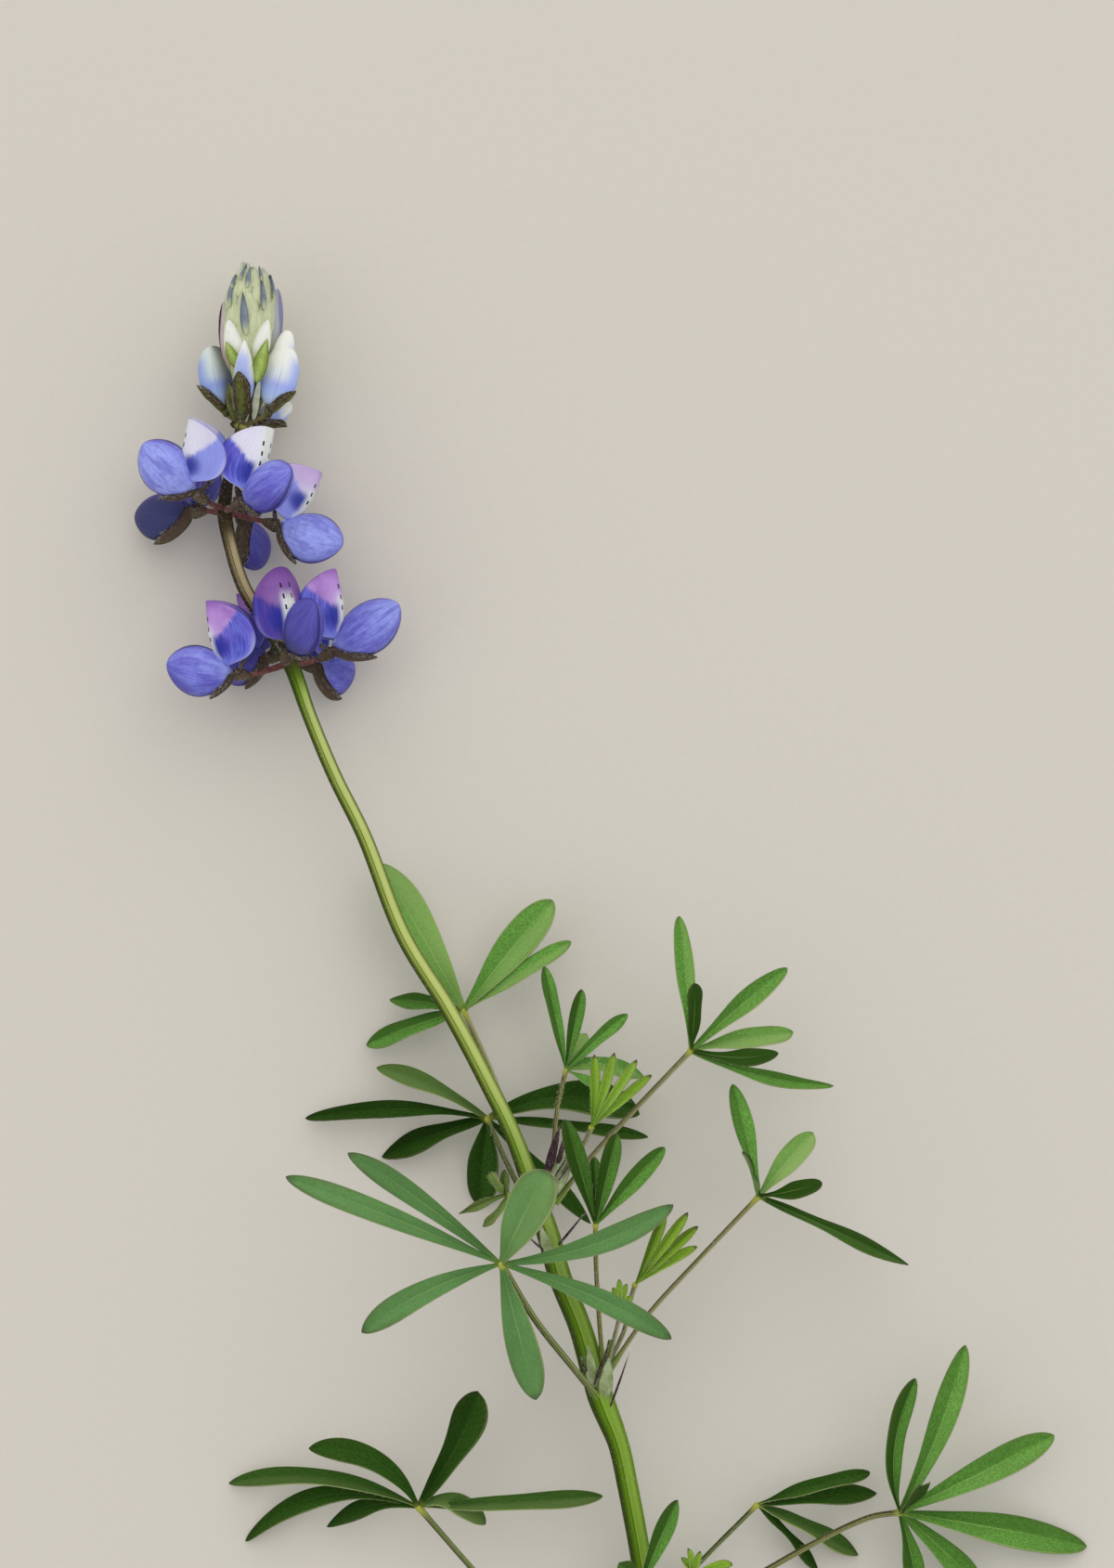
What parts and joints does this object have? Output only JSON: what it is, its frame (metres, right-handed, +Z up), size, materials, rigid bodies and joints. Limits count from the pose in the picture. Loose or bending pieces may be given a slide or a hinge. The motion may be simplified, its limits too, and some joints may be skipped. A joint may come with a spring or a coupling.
{
  "type": "lupin flower spike",
  "caption": "Cut lupin sprig lying flat: a flower spike with blue-violet pea flowers and a silky bud tip on a leafy stem with palmate leaves.",
  "frame": {"origin": "on the table under the middle of the sprig", "axes": "+Y from the cut foot of the stem towards the tip of the spike, +X to the right seen from above, +Z up from the table"},
  "size_m": [0.1467, 0.2472, 0.0463],
  "materials": {
    "stem": "satin green skin with fine pale hairs",
    "leaf": "soft satin, pale midrib, hairs at the margins",
    "young_leaf": "soft satin with silky hairs",
    "wilted_leaf": "dull, dry at the edges",
    "petals": "velvety blue-violet with fine veins",
    "older_petals": "velvety violet, banners turning pink",
    "calyx": "dark brown-green with silver hairs",
    "bud_petals": "pale blue to cream, silky",
    "young_buds": "silky grey-green"
  },
  "bodies": {
    "root": {"stem": "stem", "leaf_low_left": "leaf", "leaf_low_right": "leaf", "leaf_low_middle": "leaf", "leaf_foot_front": "leaf", "tuft_foot": "young_leaf", "leaf_front": "leaf", "leaf_right": "leaf", "leaf_upper_right": "leaf", "leaf_behind": "leaf", "leaf_top": "leaf", "leaf_axil_upper": "leaf", "young_fan_upper": "young_leaf", "leaf_axil_lower": "leaf", "young_fan_lower": "young_leaf", "tuft_axil": "young_leaf", "curled_leaf": "wilted_leaf", "upper_1_petals": "petals", "upper_1_calyx": "calyx", "upper_2_petals": "petals", "upper_2_calyx": "calyx", "upper_3_petals": "petals", "upper_3_calyx": "calyx", "upper_4_petals": "petals", "upper_4_calyx": "calyx", "upper_5_petals": "petals", "upper_5_calyx": "calyx", "lower_1_petals": "older_petals", "lower_1_calyx": "calyx", "lower_2_petals": "older_petals", "lower_2_calyx": "calyx", "lower_3_petals": "older_petals", "lower_3_calyx": "calyx", "lower_4_petals": "older_petals", "lower_4_calyx": "calyx", "lower_5_petals": "older_petals", "lower_5_calyx": "calyx", "bud_left_petals": "bud_petals", "bud_left_calyx": "calyx", "bud_right_petals": "bud_petals", "bud_right_calyx": "calyx", "bud_front_petals": "bud_petals", "bud_front_calyx": "calyx", "bud_right_low_petals": "bud_petals", "bud_right_low_calyx": "calyx", "bud_back_petals": "bud_petals", "bud_back_calyx": "calyx", "bud_cone": "young_buds"}
  },
  "joints": []
}
